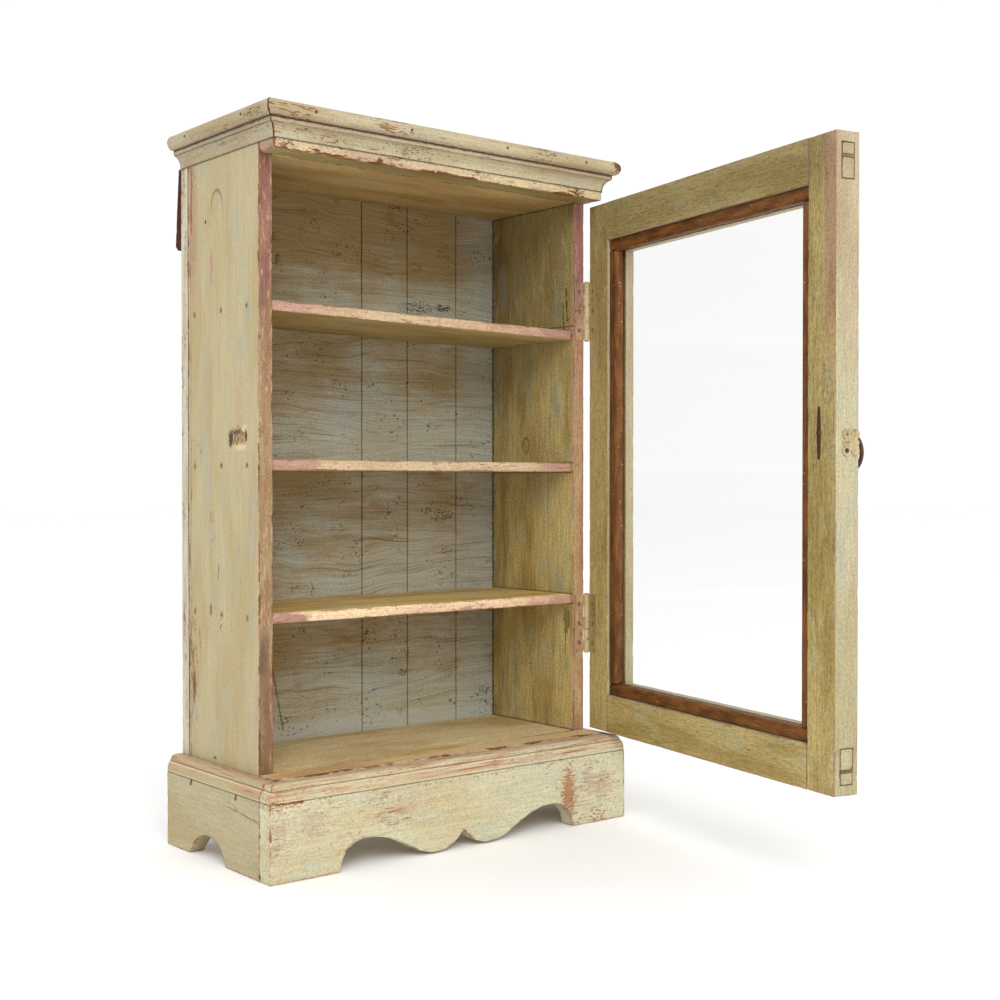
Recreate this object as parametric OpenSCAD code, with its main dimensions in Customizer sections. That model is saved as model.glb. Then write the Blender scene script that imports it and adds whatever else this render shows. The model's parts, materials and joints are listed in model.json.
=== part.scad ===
// Small glazed hanging or table cabinet: painted carcass with three shelves, moulded
// cornice, scalloped plinth, and a framed glass door on butt hinges with a ring pull.
// +Z is up and -Y is the front. The origin is under the middle of the cabinet, on the floor.
// The door is drawn as it stands open, and every door piece is laid out closed first.

/* [Carcass] */
// Overall height, floor to the top of the cornice
total_h = 572; // [562:1:620]
// Width over the two side panels
carcass_w = 328; // [300:2:380]
// Depth from the side panels' front edges to the back face
carcass_d = 125; // [110:1:150]
// Thickness of the side panels
side_t = 12.3; // [10:0.1:15]
// Thickness of the back boards
back_t = 11.5; // [8:0.5:12]
// Depth of the rails in front of the side panels
rail_d = 23; // [21:0.5:28]
// Height of the floor of the lowest compartment
floor_z = 73.2; // [73:0.1:80]
// Height of the underside of the ceiling
ceiling_z = 538.2; // [520:0.2:545]
// Thickness of the bottom board
bottom_t = 12; // [9:0.5:14]
// Thickness of the ceiling board
ceiling_t = 10; // [8:0.5:12]
// Thickness of the top board
top_t = 10; // [8:0.5:12]

/* [Shelves] */
// Thickness of a shelf
shelf_t = 8.4; // [7:0.1:12]
// Height of the upper shelf's top face at its left end
upper_shelf_z = 430.4; // [400:0.2:450]
// How much lower the upper shelf was nailed at its right end
upper_shelf_drop = 4.2; // [0:0.2:8]
// Height of the middle shelf's top face
middle_shelf_z = 309.8; // [280:0.2:330]
// Height of the lower shelf's top face
lower_shelf_z = 193.6; // [160:0.2:220]
// How far the shelf edges sit behind the side panels' front edges
shelf_setback = 2.5; // [0:0.5:6]

/* [Back] */
// Widths of the back boards, left to right, before the last one
back_board_widths = [72, 96, 49, 55]; // [40:1:100]
// Gap between neighbouring back boards
board_gap = 0.6; // [0.2:0.1:1.5]
// Height of the hanging cleat on the back
cleat_h = 66; // [50:1:80]
// Thickness of the cleat at its top edge
cleat_top_t = 5.5; // [4:0.5:8]
// Thickness of the cleat at its bottom edge
cleat_bottom_t = 11; // [8:0.5:14]

/* [Cornice] */
// How far the cornice stands out from the carcass
cornice_out = 12; // [11:0.5:16]
// Height of the cornice moulding
cornice_h = 26.6; // [26:0.2:30]
// Opening of the mitres at the cornice's front corners
mitre_gap = 0.3; // [0.1:0.1:1]

/* [Plinth] */
// Thickness of the plinth's side boards
plinth_t = 13.5; // [12:0.5:16]
// Thickness of the plinth's front board
plinth_front_t = 15.5; // [12:0.5:17]
// Height of the plinth boards
plinth_h = 72; // [69:0.5:72]
// Height of the scallop's arches above the floor
arch_h = 22.3; // [16:0.1:26]
// Height of the point in the middle of the front scallop
cusp_h = 14.5; // [8:0.5:18]
// Clearance under the two lobes of the front scallop
lobe_z = 1; // [0.5:0.1:4]
// Height of the arch in each side board
side_arch_h = 18.8; // [12:0.2:24]

/* [Door] */
// Angle that the door stands open in the drawing
door_open = 78.5; // [0:0.5:110]
// Thickness of the door frame
door_t = 21; // [20:0.5:24]
// Gap between the closed door and the side panels
door_gap = 1.9; // [1.9:0.1:2.4]
// Gap under the closed door
door_under = 1.2; // [1:0.1:2]
// Gap over the closed door
door_over = 2.6; // [1:0.1:4]
// Width of a stile on its glazed side
stile_w = 30; // [26:1:36]
// Height of a rail on its glazed side
rail_h = 33; // [28:1:40]
// Width of the rebate that holds the glass
rebate_w = 10; // [8:0.5:12]
// Depth of the rebate from the inner face
rebate_d = 12.5; // [11:0.5:14]
// Thickness of the glass
glass_t = 2; // [2:0.5:3]
// How far the glazing beads sit below the inner face
bead_inset = 2.3; // [0:0.1:4]
// Thickness of the tenons
tenon_t = 10.8; // [8:0.2:12]
// Height of the tenons
tenon_h = 25; // [18:1:28]

/* [Hinges] */
// Length of a hinge
hinge_l = 51; // [45:1:60]
// Height of the upper hinge's middle
upper_hinge_z = 443.7; // [420:0.5:470]
// Height of the lower hinge's middle
lower_hinge_z = 167.3; // [140:0.5:200]
// Radius of a hinge knuckle
knuckle_r = 2.4; // [2.2:0.1:2.6]
// Radius of a hinge pin
pin_r = 1.2; // [1:0.1:1.4]
// Thickness of a hinge leaf
leaf_t = 0.85; // [0.6:0.05:0.9]
// Width of a hinge leaf on the wood
leaf_w = 10.5; // [9:0.5:11]

/* [Pull] */
// Height of the ring pull's pin
pull_z = 327; // [280:1:360]
// Distance of the ring pull's pin from the door's free edge
pull_inset = 17; // [15:0.5:22]
// Middle radius of the ring
ring_r = 13.5; // [9:0.5:15]
// Radius of the ring's rod
ring_rod_r = 1.5; // [1.2:0.1:1.8]

/* [Hidden] */
$fn = 48;

eps = 0.01;
far = 60;

x_right = carcass_w / 2;
x_left = -x_right;
y_edge = -(carcass_d - rail_d - plinth_t) / 2;
y_front = y_edge - rail_d;
y_back = y_edge + carcass_d;
y_inner = y_back - back_t;
bead_h = 6.1;
bead_out = 5.4;
panel_bottom_z = 30;
rail_bottom_z = 33;
board_bottom_z = 45;
top_board_z = total_h - top_t;
cornice_z = total_h - cornice_h;
cleat_z = cornice_z + 1.6 - cleat_h;

door_w = carcass_w;
door_z0 = floor_z + door_under;
door_z1 = ceiling_z - door_over;
door_y_in = y_edge - door_gap;
door_y_out = door_y_in - door_t;
pin_x = x_right + knuckle_r + 0.35;
pin_y = y_edge - door_gap / 2;
bore_r = pin_r + 0.05;
tenon_y = 5.5;
wedge_l = 16;
pull_x = x_left + pull_inset;
eye_r = 3.4;
eye_wire_r = 0.8;
eye_out = 5.5;
eye_y = door_y_out - eye_out;
back_edges = [for (i = [0:5]) x_left + (i == 5 ? carcass_w : board_sum(i))];

wood = "#c9bd95";
wood_edge = "#c8a48c";
back_grey = "#9c9a8c";
olive = "#9b8a5a";
bare_red = "#6f3d22";
dark_red = "#4a2415";
brass = "#b8a468";
iron = "#3c2f28";
glass = [0.85, 0.92, 0.93, 0.35];

function board_sum(i) = i == 0 ? 0 : back_board_widths[i - 1] + board_sum(i - 1);
function bezier(a, b, c, d, n) = [for (i = [0:n - 1]) let (t = i / n, s = 1 - t)
    s * s * s * a + 3 * s * s * t * b + 3 * s * t * t * c + t * t * t * d];
function arc(centre, rx, rz, from, to, n) = [for (i = [0:n]) let (a = from + (to - from) * i / n)
    centre + [rx * cos(a), rz * sin(a)]];

// ---------- shared shapes ----------

module box(low, high) {
    translate(low) cube(high - low);
}

// A profile drawn as (outward, height), laid along X with outward towards -Y.
module along_x(x0, x1, y) {
    translate([x0, y, 0]) rotate([90, 0, 90]) linear_extrude(x1 - x0) mirror([1, 0]) children();
}

// The same profile laid along Y, with outward towards -X.
module along_y(y0, y1, x) {
    translate([x, y1, 0]) rotate([90, 0, 0]) linear_extrude(y1 - y0) mirror([1, 0]) children();
}

// A small nail or pin: its head's outer face is at the origin and its shank runs along +Z.
module nail(length, head_r) {
    cylinder(r = head_r, h = 0.7);
    cylinder(r = head_r * 0.55, h = length);
}

// A countersunk screw whose head's face is at the origin, with its shank along +Z.
module screw(length) {
    difference() {
        union() {
            cylinder(r1 = 2.1, r2 = 1, h = leaf_t);
            cylinder(r = 1, h = length);
        }
        translate([-3, -0.3, -eps]) cube([6, 0.6, 0.35]);
    }
}

// ---------- carcass ----------

module side_panel(x) {
    box([x, y_edge, panel_bottom_z], [x + side_t, y_inner, top_board_z]);
}

module left_side_panel() {
    color(wood) side_panel(x_left);
}

module right_side_panel() {
    color(wood) difference() {
        side_panel(x_right - side_t);
        leaf_recesses(y_edge - 1, y_edge + leaf_t);
    }
}

module bottom_board() {
    color(olive)
    box([x_left + side_t, y_edge, floor_z - bottom_t], [x_right - side_t, y_inner, floor_z]);
}

module ceiling_board() {
    color(olive)
    box([x_left + side_t, y_edge, ceiling_z], [x_right - side_t, y_inner, ceiling_z + ceiling_t]);
}

module top_board() {
    color(wood) box([x_left, y_front, top_board_z], [x_right, y_back, total_h]);
}

module top_front_rail() {
    color(wood_edge) box([x_left, y_front, ceiling_z], [x_right, y_edge, top_board_z]);
}

module bottom_front_rail() {
    color(wood_edge) box([x_left, y_front, rail_bottom_z], [x_right, y_edge, floor_z]);
}

module shelf(left_z, right_z) {
    x0 = x_left + side_t;
    x1 = x_right - side_t;
    outline = [[x0, left_z - shelf_t], [x1, right_z - shelf_t], [x1, right_z], [x0, left_z]];
    color(olive) translate([0, y_inner, 0]) rotate([90, 0, 0])
    linear_extrude(y_inner - y_edge - shelf_setback) polygon(outline);
}

module upper_shelf() {
    shelf(upper_shelf_z, upper_shelf_z - upper_shelf_drop);
}

module middle_shelf() {
    shelf(middle_shelf_z, middle_shelf_z);
}

module lower_shelf() {
    shelf(lower_shelf_z, lower_shelf_z);
}

module back_board(i) {
    left = back_edges[i] + (i == 0 ? 0 : board_gap / 2);
    right = back_edges[i + 1] - (i == 4 ? 0 : board_gap / 2);
    color(back_grey) box([left, y_inner, board_bottom_z], [right, y_back, top_board_z]);
}

// A wedge-shaped batten across the back, thicker at its bottom, with a chamfer below.
module hanging_cleat() {
    chamfer = 4;
    color(dark_red) along_x(x_left + 0.5, x_right - 0.5, y_back) polygon([
        [0, cleat_z], [-cleat_bottom_t + chamfer, cleat_z], [-cleat_bottom_t, cleat_z + chamfer],
        [-cleat_top_t, cleat_z + cleat_h], [0, cleat_z + cleat_h]]);
}

// ---------- cornice ----------

// Bead at the top, a fillet under it, and a cove down to the carcass.
module cornice_profile() {
    fillet_out = cornice_out - bead_out - 0.2;
    fillet_z = total_h - 2 * bead_h - 3.6;
    polygon(concat(
        [[0, cornice_z], [0.6, cornice_z]],
        arc([fillet_out - 0.6, cornice_z + 0.4], 0.8 - fillet_out, fillet_z - cornice_z - 1, 5, 85, 6),
        [[fillet_out - 0.6, fillet_z], [fillet_out, fillet_z + 0.4],
        [fillet_out, total_h - 2 * bead_h]],
        arc([cornice_out - bead_out, total_h - bead_h], bead_out, bead_h, -90, 90, 12),
        [[0, total_h]]));
}

module mitre_side(x, side) {
    linear_extrude(total_h + far) polygon([
        [x, y_front], [x, y_back], [x + side * far, y_back], [x + side * far, y_front - far]]);
}

module cornice_front() {
    color(wood) intersection() {
        along_x(x_left - far, x_right + far, y_front) cornice_profile();
        linear_extrude(total_h + far) polygon([
            [x_left + mitre_gap, y_front], [x_right - mitre_gap, y_front],
            [x_right + far - mitre_gap, y_front - far], [x_left - far + mitre_gap, y_front - far]]);
    }
}

module cornice_left() {
    color(wood) intersection() {
        along_y(y_front - far, y_back, x_left) cornice_profile();
        mitre_side(x_left, -1);
    }
}

module cornice_right() {
    color(wood) mirror([1, 0, 0]) intersection() {
        along_y(y_front - far, y_back, x_left) cornice_profile();
        mitre_side(x_left, -1);
    }
}

// ---------- plinth ----------

// The moulded edge of a plinth board of thickness t, as (outward, height): a fine groove,
// a shallow curve, a small step and a rounded top.
function plinth_edge(t) = concat(
    [[t, plinth_h - 14.2], [t - 0.6, plinth_h - 13.9], [t - 0.6, plinth_h - 13.4]],
    arc([t - 4.2, plinth_h - 13], 4, 9.4, 0, 54, 4),
    [[t - 2.5, plinth_h - 4.9]],
    arc([t - 7.5, plinth_h - 4.6], 4.7, 4.6, 0, 90, 6));

module plinth_profile(t) {
    polygon(concat([[0, 0], [t, 0]], plinth_edge(t), [[0, plinth_h]]));
}

// Half of the front scallop, from the middle outwards, as (distance, height).
function half_scallop() = concat(
    bezier([0, cusp_h], [6, cusp_h * 0.55], [13, lobe_z], [27, lobe_z], 8),
    bezier([27, lobe_z], [50, lobe_z], [62, arch_h], [94, arch_h], 12),
    bezier([94, arch_h], [106, arch_h], [116, arch_h * 0.63], [117, 0], 8),
    [[117, 0]]);

module plinth_front() {
    half = half_scallop();
    last = len(half) - 1;
    edge = [for (p = plinth_edge(plinth_t)) [x_right + p[0], p[1]]];
    count = len(edge) - 1;
    left_edge = [for (i = [0:count]) [-edge[count - i][0], edge[count - i][1]]];
    left_half = [for (i = [0:last - 1]) [-half[last - i][0], half[last - i][1]]];
    outline = concat([[x_right + plinth_t, 0]], edge, left_edge,
        [[x_left - plinth_t, 0]], left_half, half);
    color(wood) intersection() {
        translate([0, y_front, 0]) rotate([90, 0, 0]) linear_extrude(plinth_front_t)
        polygon(outline);
        along_x(x_left - far, x_right + far, y_front) plinth_profile(plinth_front_t);
    }
}

// The side board's outline, drawn from its front foot to its back foot.
module plinth_side(x) {
    foot = 28.5;
    arch_end = 87;
    arch_mid = 58;
    outline = concat([[y_front, 0], [y_edge + foot, 0]],
        bezier([y_edge + foot, 0], [y_edge + foot + 2, side_arch_h * 0.6],
            [y_edge + arch_mid - 14, side_arch_h], [y_edge + arch_mid, side_arch_h], 8),
        bezier([y_edge + arch_mid, side_arch_h], [y_edge + arch_mid + 14, side_arch_h],
            [y_edge + arch_end - 7, side_arch_h * 0.4], [y_edge + arch_end, 0], 8),
        [[y_edge + arch_end, 0], [y_back, 0], [y_back, plinth_h], [y_front, plinth_h]]);
    color(wood) intersection() {
        translate([x - far, 0, 0]) rotate([90, 0, 90]) linear_extrude(2 * far) polygon(outline);
        along_y(y_front, y_back, x) plinth_profile(plinth_t);
    }
}

module plinth_left() {
    plinth_side(x_left);
}

module plinth_right() {
    mirror([1, 0, 0]) plinth_side(x_left);
}

// ---------- nails and screws of the carcass ----------

module shelf_nails() {
    rows = [[upper_shelf_z, upper_shelf_drop], [middle_shelf_z, 0], [lower_shelf_z, 0]];
    color(iron) for (row = rows, y = [18, 58, 102]) {
        translate([x_left - 0.1, y_edge + y, row[0] - shelf_t / 2]) rotate([0, 90, 0]) nail(24, 1.4);
        translate([x_right + 0.1, y_edge + y, row[0] - row[1] - shelf_t / 2])
        rotate([0, -90, 0]) nail(24, 1.4);
    }
}

module plinth_nails() {
    color(iron) {
        for (x = [-145, -52, 52, 145])
        translate([x, y_front - plinth_front_t - 0.1, 50]) rotate([-90, 0, 0]) nail(26, 1.4);
        for (y = [12, 84]) {
            translate([x_left - plinth_t - 0.1, y_edge + y, 55]) rotate([0, 90, 0]) nail(24, 1.4);
            translate([x_right + plinth_t + 0.1, y_edge + y, 55]) rotate([0, -90, 0]) nail(24, 1.4);
        }
    }
}

// The nails go in at the middle of the cornice's bead.
module cornice_nails() {
    nail_z = total_h - bead_h;
    face = cornice_out + 0.1;
    color(iron) {
        for (x = [-135, -48, 48, 135])
        translate([x, y_front - face, nail_z]) rotate([-90, 0, 0]) nail(28, 1);
        for (y = [5, 95]) {
            translate([x_left - face, y_edge + y, nail_z]) rotate([0, 90, 0]) nail(22, 1);
            translate([x_right + face, y_edge + y, nail_z]) rotate([0, -90, 0]) nail(22, 1);
        }
    }
}

module back_nails() {
    color(iron) for (i = [0:4], z = [middle_shelf_z - shelf_t / 2, floor_z - bottom_t / 2])
    translate([(back_edges[i] + back_edges[i + 1]) / 2, y_back + 0.1, z])
    rotate([90, 0, 0]) nail(22, 1.4);
}

module cleat_screws() {
    lean = atan((cleat_bottom_t - cleat_top_t) / (cleat_h - 4));
    mid_t = (cleat_top_t + cleat_bottom_t) / 2 + 0.15;
    color(iron) for (i = [0:4])
    translate([(back_edges[i] + back_edges[i + 1]) / 2, y_back + mid_t, cleat_z + cleat_h / 2 + 2])
    rotate([90 - lean, 0, 0]) screw(17);
}

// ---------- hinges ----------

module place_door() {
    translate([pin_x, pin_y, 0]) rotate([0, 0, door_open]) translate([-pin_x, -pin_y, 0])
    children();
}

// The recesses that let the hinge leaves in flush with the wood, between two depths.
module leaf_recesses(y0, y1) {
    for (z = [upper_hinge_z, lower_hinge_z])
    box([x_right - leaf_w - 0.1, y0, z - hinge_l / 2 - 0.1], [x_right + 1, y1, z + hinge_l / 2 + 0.1]);
}

// One hinge leaf with its knuckles. side is 1 for the leaf on the carcass and -1 for the
// leaf on the door, and slots lists its own knuckles, counted from the bottom.
module hinge_leaf(z_mid, side, slots) {
    pitch = hinge_l / 5;
    z0 = z_mid - hinge_l / 2;
    plate_y = side > 0 ? y_edge : door_y_in - leaf_t;
    difference() {
        union() {
            box([x_right - leaf_w, plate_y, z0], [x_right + 0.05, plate_y + leaf_t, z0 + hinge_l]);
            for (k = slots) {
                box([x_right, plate_y, z0 + k * pitch + 0.1],
                    [pin_x - 1.5, plate_y + leaf_t, z0 + (k + 1) * pitch - 0.1]);
                translate([pin_x, pin_y, z0 + k * pitch + 0.1])
                cylinder(r = knuckle_r, h = pitch - 0.2);
            }
        }
        translate([pin_x, pin_y, z0 - 1]) cylinder(r = bore_r, h = hinge_l + 2);
        for (dz = [-17, 0, 17]) hinge_hole(z_mid + dz, side);
    }
}

module hinge_hole(z, side) {
    face_y = side > 0 ? y_edge : door_y_in;
    translate([x_right - leaf_w / 2, face_y, z]) rotate([side > 0 ? -90 : 90, 0, 0])
    translate([0, 0, -eps]) cylinder(r1 = 2.2, r2 = 1.1, h = leaf_t + 2 * eps);
}

module hinge_pin(z_mid) {
    color(brass) translate([pin_x, pin_y, 0]) {
        translate([0, 0, z_mid - hinge_l / 2 - 0.9]) cylinder(r = 2, h = 0.95);
        translate([0, 0, z_mid - hinge_l / 2]) cylinder(r = pin_r, h = hinge_l);
        translate([0, 0, z_mid + hinge_l / 2 - 0.05]) cylinder(r = 2, h = 0.95);
    }
}

module upper_hinge_carcass_leaf() {
    color(brass) hinge_leaf(upper_hinge_z, 1, [0, 2, 4]);
}

module lower_hinge_carcass_leaf() {
    color(brass) hinge_leaf(lower_hinge_z, 1, [0, 2, 4]);
}

module upper_hinge_door_leaf() {
    color(brass) place_door() hinge_leaf(upper_hinge_z, -1, [1, 3]);
}

module lower_hinge_door_leaf() {
    color(brass) place_door() hinge_leaf(lower_hinge_z, -1, [1, 3]);
}

module upper_hinge_pin() {
    hinge_pin(upper_hinge_z);
}

module lower_hinge_pin() {
    hinge_pin(lower_hinge_z);
}

module carcass_leaf_screws() {
    color(brass) for (z = [upper_hinge_z, lower_hinge_z], dz = [-17, 0, 17])
    translate([x_right - leaf_w / 2, y_edge, z + dz]) rotate([-90, 0, 0]) screw(12);
}

module door_leaf_screws() {
    color(brass) place_door() for (z = [upper_hinge_z, lower_hinge_z], dz = [-17, 0, 17])
    translate([x_right - leaf_w / 2, door_y_in, z + dz]) rotate([90, 0, 0]) screw(12);
}

// ---------- door ----------

// A stile that fills the door from its outer edge inwards, with the rebate along its inner
// edge and two through mortises. It is drawn for the lock side.
module stile() {
    full_w = stile_w + rebate_w;
    difference() {
        box([x_left, door_y_out, door_z0], [x_left + full_w, door_y_in, door_z1]);
        box([x_left + stile_w, door_y_in - rebate_d, door_z0 - 1],
            [x_left + full_w + 1, door_y_in + 1, door_z1 + 1]);
        for (z = [tenon_low_z(), tenon_high_z()])
        box([x_left - 1, door_y_in - tenon_y - tenon_t - 0.1, z - 0.1],
            [x_left + full_w + 1, door_y_in - tenon_y + 0.1, z + tenon_h + 0.1]);
    }
}

function tenon_low_z() = door_z0 + rail_h - tenon_h;
function tenon_high_z() = door_z1 - rail_h;

module door_hinge_stile() {
    color(wood) place_door() difference() {
        mirror([1, 0, 0]) stile();
        leaf_recesses(door_y_in - leaf_t, door_y_in + 1);
    }
}

module door_lock_stile() {
    color(wood) place_door() difference() {
        stile();
        translate([pull_x, door_y_in + 1, pull_z]) rotate([90, 0, 0])
        cylinder(r = 1.5, h = door_t + 2);
    }
}

// A rail with its long rear shoulders, short front shoulders and two wedged tenons.
// It is drawn as the bottom rail, from z = 0 upwards.
module rail(tenon_z) {
    long = door_w / 2 - stile_w;
    short = long - rebate_w;
    difference() {
        union() {
            box([-long, door_y_in - rebate_d, 0], [long, door_y_in, rail_h]);
            box([-short, door_y_out, 0], [short, door_y_in - rebate_d, rail_h + rebate_w]);
            box([-door_w / 2, door_y_in - tenon_y - tenon_t, tenon_z],
                [door_w / 2, door_y_in - tenon_y, tenon_z + tenon_h]);
        }
        for (s = [0, 1]) mirror([s, 0, 0]) wedge(tenon_z);
    }
}

// A thin wedge driven into the end of a tenon, across its thickness.
module wedge(tenon_z) {
    thick = 1.8;
    mid_z = tenon_z + tenon_h * 0.37;
    translate([-door_w / 2, door_y_in - tenon_y, 0]) rotate([90, 0, 0])
    linear_extrude(tenon_t) polygon([[0, mid_z - thick / 2], [0, mid_z + thick / 2], [wedge_l, mid_z]]);
}

module door_bottom_rail() {
    color(wood) place_door() translate([0, 0, door_z0]) rail(rail_h - tenon_h);
}

module door_top_rail() {
    color(wood) place_door() translate([0, 0, door_z1]) mirror([0, 0, 1]) rail(rail_h - tenon_h);
}

module tenon_wedges() {
    color(bare_red) place_door() for (s = [0, 1]) mirror([s, 0, 0]) {
        translate([0, 0, door_z0]) wedge(rail_h - tenon_h);
        translate([0, 0, door_z1]) mirror([0, 0, 1]) wedge(rail_h - tenon_h);
    }
}

module glass_pane() {
    margin = 0.6;
    half_w = door_w / 2 - stile_w - margin;
    y1 = door_y_in - rebate_d + 0.1 + glass_t;
    color(glass) place_door()
    box([-half_w, y1 - glass_t, door_z0 + rail_h + margin], [half_w, y1, door_z1 - rail_h - margin]);
}

// A glazing bead's section, as (across, depth below the inner face): square at the glass,
// with its showing corner rounded.
module bead_section() {
    depth = rebate_d - glass_t - 0.3;
    round_r = 3;
    polygon(concat([[0, -depth], [0, -bead_inset]],
        arc([rebate_w - round_r, -bead_inset - round_r], round_r, round_r, 90, 0, 6),
        [[rebate_w, -depth]]));
}

// The top bead, from the rebate's upper edge down.
module glazing_bead_top() {
    length = door_w - 2 * stile_w - 0.4;
    color(bare_red) place_door() translate([0, 0, door_z1 - rail_h - 0.1])
    bead_along_x(length, -1);
}

module glazing_bead_bottom() {
    length = door_w - 2 * stile_w - 0.4;
    color(bare_red) place_door() translate([0, 0, door_z0 + rail_h + 0.1])
    bead_along_x(length, 1);
}

// A bead along X. grow is 1 where it grows upwards from the rebate, and -1 downwards.
module bead_along_x(length, grow) {
    mirror([0, 0, grow > 0 ? 0 : 1]) translate([-length / 2, door_y_in, 0])
    rotate([0, 90, 0]) linear_extrude(length) mirror([1, 0]) bead_section();
}

// A bead along Z, growing away from the stile towards +X.
module bead_along_z() {
    low = door_z0 + rail_h + rebate_w + 0.3;
    high = door_z1 - rail_h - rebate_w - 0.3;
    translate([x_left + stile_w + 0.1, door_y_in, low]) linear_extrude(high - low) bead_section();
}

module glazing_bead_lock_side() {
    color(bare_red) place_door() bead_along_z();
}

module glazing_bead_hinge_side() {
    color(bare_red) place_door() mirror([1, 0, 0]) bead_along_z();
}

// Fine pins that hold the beads, driven slantwise into the frame.
module bead_pins() {
    y = door_y_in - bead_inset - 2.8;
    long_x = door_w / 2 - stile_w - rebate_w;
    low = door_z0 + rail_h + rebate_w;
    high = door_z1 - rail_h - rebate_w;
    color(iron) place_door() {
        for (x = [-95, 0, 95]) {
            translate([x, y, low + 0.2]) rotate([180, 0, 0]) nail(15, 0.8);
            translate([x, y, high - 0.2]) nail(15, 0.8);
        }
        for (z = [170, 305, 440], s = [0, 1]) mirror([s, 0, 0])
        translate([-long_x + 0.2, y, z]) rotate([0, -90, 0]) nail(15, 0.8);
    }
}

// ---------- edge plate and ring pull ----------

// A small cusped plate on the door's free edge, where a catch was once fixed.
module edge_plate() {
    color(brass) place_door() difference() {
        translate([x_left, door_y_in - 13.6, pull_z - 7]) rotate([0, -90, 0]) linear_extrude(0.8) {
            square([11, 8], center = true);
            for (a = [-1, 1], b = [-1, 1]) translate([a * 6, b * 4]) circle(r = 3.4);
            for (b = [-1, 1]) translate([0, b * 4]) circle(r = 3);
        }
        for (dz = [-12.5, -1.5])
        translate([x_left + 1, door_y_in - 9.4, pull_z + dz]) rotate([0, -90, 0])
        cylinder(r = 0.9, h = 3);
    }
}

module edge_plate_nails() {
    color(iron) place_door()
    translate([x_left - 1.3, door_y_in - 9.4, pull_z - 12.5]) rotate([0, 90, 0]) {
        cylinder(r = 1.6, h = 0.5);
        cylinder(r = 0.8, h = 12);
    }
}

module pull_backplate() {
    color(iron) place_door() translate([pull_x, door_y_out, pull_z]) rotate([90, 0, 0])
    difference() {
        union() {
            cylinder(r = 6.2, h = 0.7);
            translate([0, 0, 0.7]) cylinder(r1 = 4.6, r2 = 3, h = 0.5);
        }
        translate([0, 0, -1]) cylinder(r = 1.5, h = 4);
    }
}

// A split pin: its eye carries the ring, its shank passes through the stile and the
// backplate, and its two legs are bent flat against the inner face.
module pull_cotter() {
    shank_r = 1.3;
    color(iron) place_door() translate([pull_x, 0, pull_z]) {
        translate([0, eye_y, 0]) rotate([0, 90, 0]) rotate_extrude()
        translate([eye_r - eye_wire_r, 0]) circle(r = eye_wire_r, $fn = 24);
        translate([0, door_y_in + 0.1, 0]) rotate([90, 0, 0])
        cylinder(r = shank_r, h = door_t + eye_out - eye_r + 0.7);
        translate([0, door_y_in + 0.05, 0]) rotate([-90, 0, 0]) cylinder(r1 = 2.3, r2 = 1.4, h = 1.7);
        for (leg = [0, 1]) mirror([0, 0, leg]) translate([0, door_y_in + 0.05, 0])
        rotate([-90, 0, 0]) linear_extrude(1)
        polygon([[-1.6, 0], [1.6, 0], [1.2, -12], [0.4, -18.5], [-0.4, -18.5], [-1.2, -12]]);
    }
}

module pull_ring() {
    color(iron) place_door() translate([pull_x, eye_y, pull_z - ring_r]) rotate([90, 0, 0])
    rotate_extrude() translate([ring_r, 0]) circle(r = ring_rod_r, $fn = 24);
}

left_side_panel();
right_side_panel();
bottom_board();
ceiling_board();
top_board();
top_front_rail();
bottom_front_rail();
upper_shelf();
middle_shelf();
lower_shelf();
back_board(0);  // back_board_1
back_board(1);  // back_board_2
back_board(2);  // back_board_3
back_board(3);  // back_board_4
back_board(4);  // back_board_5
cornice_front();
cornice_left();
cornice_right();
plinth_front();
plinth_left();
plinth_right();
hanging_cleat();
upper_hinge_carcass_leaf();
lower_hinge_carcass_leaf();
upper_hinge_pin();
lower_hinge_pin();
carcass_leaf_screws();
shelf_nails();
plinth_nails();
cornice_nails();
back_nails();
cleat_screws();
door_hinge_stile();
door_lock_stile();
door_top_rail();
door_bottom_rail();
tenon_wedges();
glass_pane();
glazing_bead_top();
glazing_bead_bottom();
glazing_bead_hinge_side();
glazing_bead_lock_side();
bead_pins();
upper_hinge_door_leaf();
lower_hinge_door_leaf();
door_leaf_screws();
edge_plate();
edge_plate_nails();
pull_backplate();
pull_cotter();
pull_ring();
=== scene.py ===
"""Looks of a small glazed cabinet: worn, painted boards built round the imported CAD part.

Every board is a copy of its CAD node with eased arrises, chips and a slight waviness. Every
material is built from noise in the part's own coordinates, in millimetres. The door's pieces
are built closed, square to the axes, and their objects carry the turn that opens the door.
"""
import json
import math

import bmesh
import bpy
import numpy as np
from mathutils import Matrix, Vector, noise


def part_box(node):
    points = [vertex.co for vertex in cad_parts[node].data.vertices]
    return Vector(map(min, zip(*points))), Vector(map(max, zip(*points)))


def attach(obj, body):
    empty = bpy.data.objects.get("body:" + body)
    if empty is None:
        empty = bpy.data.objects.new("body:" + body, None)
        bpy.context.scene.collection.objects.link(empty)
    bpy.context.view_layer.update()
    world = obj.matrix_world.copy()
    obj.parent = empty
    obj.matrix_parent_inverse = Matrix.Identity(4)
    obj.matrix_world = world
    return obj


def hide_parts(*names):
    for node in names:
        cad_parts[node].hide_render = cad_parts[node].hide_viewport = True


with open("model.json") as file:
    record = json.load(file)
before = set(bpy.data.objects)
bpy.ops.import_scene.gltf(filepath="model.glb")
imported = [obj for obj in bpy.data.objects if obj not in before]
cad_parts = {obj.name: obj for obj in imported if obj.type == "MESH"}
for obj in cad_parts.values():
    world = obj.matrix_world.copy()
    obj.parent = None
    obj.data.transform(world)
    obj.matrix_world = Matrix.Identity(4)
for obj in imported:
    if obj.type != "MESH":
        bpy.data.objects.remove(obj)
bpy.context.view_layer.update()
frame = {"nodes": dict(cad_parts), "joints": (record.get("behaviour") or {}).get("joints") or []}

MM = 0.001

# --- places taken from the frame, in mm ---


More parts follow.
